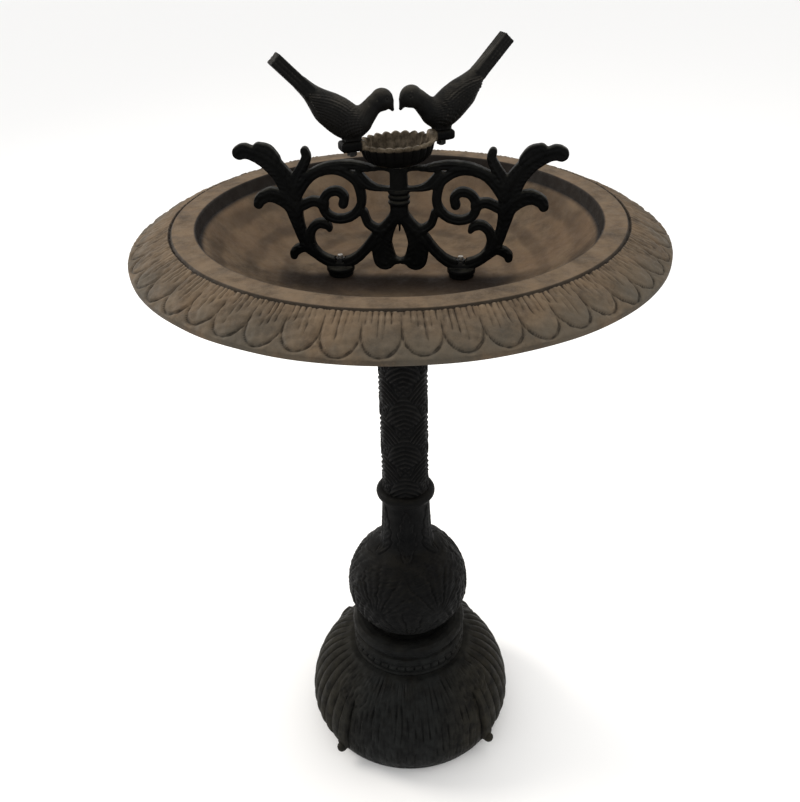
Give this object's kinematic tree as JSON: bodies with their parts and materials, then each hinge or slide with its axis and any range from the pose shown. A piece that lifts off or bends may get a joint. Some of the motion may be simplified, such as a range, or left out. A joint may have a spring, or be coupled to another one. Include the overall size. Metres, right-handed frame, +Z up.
{
  "type": "bird bath",
  "caption": "Cast-iron pedestal bird bath with a wide petal-edged basin, a scrollwork frame and a small cup with two facing birds.",
  "frame": {"origin": "on the ground under the centre of the pedestal", "axes": "+Z up, +X along the scroll frame towards its right foot, +Y away from the front"},
  "size_m": [0.5, 0.5, 0.8072],
  "materials": {
    "pedestal_iron": "dark painted casting, dusty on its upper faces",
    "basin_iron": "weathered brown and taupe, matt",
    "frame_iron": "dark casting with lighter worn edges",
    "cup_iron": "dark casting with a worn bronze-brown rim",
    "bird_iron": "dark casting, worn lighter on heads and backs",
    "fastener_steel": "dull zinc-plated steel",
    "seal_rubber": "matt black rubber"
  },
  "bodies": {
    "pedestal": {"base": "pedestal_iron", "base_collar": "pedestal_iron", "bulb": "pedestal_iron", "knop_ring": "pedestal_iron", "column": "pedestal_iron", "tie_rod": "fastener_steel", "tie_washers": "fastener_steel", "tie_nuts": "fastener_steel", "column_seal": "seal_rubber"},
    "basin_unit": {"basin": "basin_iron", "scroll_frame": "frame_iron", "foot_bolts": "fastener_steel", "foot_seals": "seal_rubber", "foot_washers": "fastener_steel", "foot_nuts": "fastener_steel", "cup_spacer": "fastener_steel", "cup_screw": "fastener_steel"},
    "cup_unit": {"cup": "cup_iron", "left_bird": "bird_iron", "right_bird": "bird_iron", "bird_studs": "fastener_steel", "bird_nuts": "fastener_steel"}
  },
  "joints": [
    {"name": "basin_lift", "type": "slide", "parent": "pedestal", "child": "basin_unit", "axis": [0, 0, 1], "range_m": [0, 0.12]},
    {"name": "cup_swivel", "type": "hinge", "parent": "basin_unit", "child": "cup_unit", "pos_m": [0, 0, 0.702], "axis": [0, 0, 1], "continuous": true}
  ]
}
